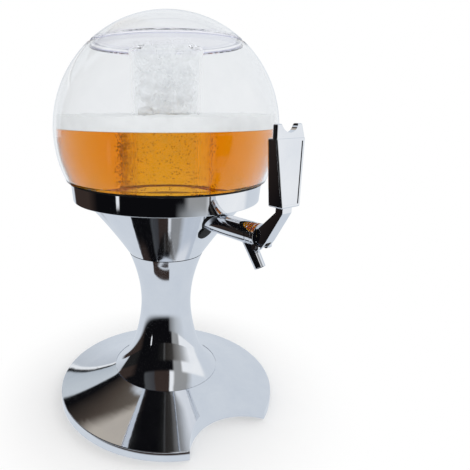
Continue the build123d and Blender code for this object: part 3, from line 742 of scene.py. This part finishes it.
def add_spring():
    """Coil spring of the valve. It stands for the CAD spring."""
    low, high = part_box("return_spring")
    steps, sides = 28, 10
    middle = (low + high) / 2
    coil = (high.x - low.x) / 2 - spring_wire
    start, length = low.y + spring_wire, high.y - low.y - 2 * spring_wire
    rise = length / (2 * math.pi * spring_turns)
    shape = bmesh.new()
    rings = []
    for step in range(spring_turns * steps + 1):
        turn = 2 * math.pi * step / steps
        outward = Vector((math.cos(turn), 0, math.sin(turn)))
        along = Vector((-math.sin(turn) * coil, rise, math.cos(turn) * coil))
        across = along.normalized().cross(outward)
        centre = Vector((middle.x, start + length * step / (spring_turns * steps), middle.z))
        centre += outward * coil
        rings.append([
            shape.verts.new(centre + spring_wire * (math.cos(a) * outward + math.sin(a) * across))
            for a in (2 * math.pi * side / sides for side in range(sides))
        ])
    for before, after in zip(rings, rings[1:]):
        for side in range(sides):
            shape.faces.new((before[side], before[side - 1], after[side - 1], after[side]))
    shape.faces.new(rings[0])
    shape.faces.new(rings[-1][::-1])
    piece = add_piece("coil_spring", shape, materials["steel"], "stand", math.radians(60))
    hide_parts("return_spring")
    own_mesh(piece)


def bubble_material():
    """Gas bubble in the drink: light bends the other way in it, so its rim looks dark. Its tint, from
    dark brown to amber, is painted shade that darkens the bubbles further.
    """
    material, tree = new_material("bubble")
    haze = tree.noise(scale=300.0, detail=2.0)
    # Painted shade: a gas bubble has no colour of its own, and this dark brown to amber tint darkens it
    tint = tree.ramp(haze, ((0.35, (0.16, 0.07, 0.02)), (0.65, (0.85, 0.60, 0.25))))
    shader = tree.add("ShaderNodeBsdfPrincipled", {
        "Base Color": tint, "Roughness": 0.05, "IOR": 0.75, "Transmission Weight": 1.0,
    })
    tree.clear_surface(shader, full_white)
    return material


def add_bubbles():
    """Fine bubbles that cling to the outside of the ice tube and rise to the foam."""
    pick = random.Random(bubble_seed)
    shape = bmesh.new()
    wet_height = drink_level - 2 * bubble_margin - tube_low.z
    for number in range(bubble_count):
        height = tube_low.z + bubble_margin + wet_height * pick.random()
        radius = pick.uniform(*bubble_radii)
        away = around_tube(height) + radius + bubble_gap + bubble_drift * pick.random() ** 4
        turn = pick.uniform(0, 2 * math.pi)
        if number < stripe_bubbles:
            turn = stripe_turn + pick.gauss(0, stripe_spread)
        place = Matrix.Translation((away * math.cos(turn), away * math.sin(turn), height))
        bmesh.ops.create_icosphere(shape, subdivisions=1, radius=radius, matrix=place)
    add_piece("bubbles", shape, bubble_material(), "stand")


def add_melt_water():
    """Melt water that stands in the ice tube up to the drink's level."""
    low = tube_low.z + tube_wall + gap
    wall = [(ice_room(height), height) for height in levels(low, water_level, 6)]
    outline = [(0, low)] + wall + [(0, water_level)]
    add_piece("melt_water", turned(outline), water_material(), "ice_insert")


def add_ice():
    """Broken ice that fills the tube above the drink's level, in layers of a ring of lumps and one in
    its middle."""
    pick = random.Random(ice_seed)
    noise.seed_set(ice_seed)
    shape = bmesh.new()
    heights = levels(drink_level - ice_size, tube_high.z - ice_size * 0.5, ice_layers - 1)
    for layer, height in enumerate(heights):
        for place in range(ice_ring + 1):
            turn = 2 * math.pi * place / ice_ring + layer * ice_layer_turn
            turn += pick.uniform(-ice_turn_spread, ice_turn_spread)
            away = ice_middle_radius
            if place < ice_ring:
                away = ice_ring_radius + pick.uniform(-ice_ring_spread, ice_ring_spread)
            lift = pick.uniform(-ice_lift, ice_lift) if layer else 0.0
            middle = Vector((away * math.cos(turn), away * math.sin(turn), height + lift))
            made = bmesh.ops.create_cube(shape, size=ice_size * pick.uniform(*ice_sizes))["verts"]
            angle = pick.uniform(0, 3)
            tilt = Matrix.Rotation(angle, 4, Vector([pick.uniform(-1, 1) for _ in range(3)]))
            bmesh.ops.transform(shape, matrix=Matrix.Translation(middle) @ tilt, verts=made)
    edges = shape.edges[:]
    bmesh.ops.bevel(shape, geom=edges, offset=ice_round, segments=3, affect="EDGES", profile=0.6)
    bmesh.ops.subdivide_edges(shape, edges=shape.edges[:], cuts=1, use_grid_fill=True)
    for vertex in shape.verts:
        vertex.co += noise.noise_vector(vertex.co * ice_wave) * ice_dent
        vertex.co.z = min(max(vertex.co.z, tube_low.z + tube_wall + gap), tube_high.z - tube_wall)
        away = math.hypot(vertex.co.x, vertex.co.y)
        room = ice_room(vertex.co.z)
        if away > room:
            vertex.co.x *= room / away
            vertex.co.y *= room / away
    # The bevel leaves some faces in an order that varies, so they are sorted along one direction
    shape.faces.sort(key=lambda face: face.calc_center_median().dot(ice_order))
    add_piece("ice", shape, ice_material(), "ice_insert")


def allow_deep_paths():
    """Lets light through every layer of plastic, drink and ice."""
    scene.cycles.max_bounces = most_turns
    scene.cycles.transmission_bounces = most_turns
    scene.cycles.glossy_bounces = most_turns
    scene.cycles.transparent_max_bounces = most_layers


scene.view_settings.view_transform = "Standard"
add_camera()
add_world()
add_floor()
add_lamp("key_lamp", place=(-1.1, -1.2, 1.7), size=1.2, power=14.0)
add_lamp("fill_lamp", place=(1.5, -0.4, 1.2), size=1.4, power=7.0)
allow_deep_paths()
dress_nodes()
add_drink()
add_foam()
add_bubbles()
add_spring()
add_melt_water()
add_ice()
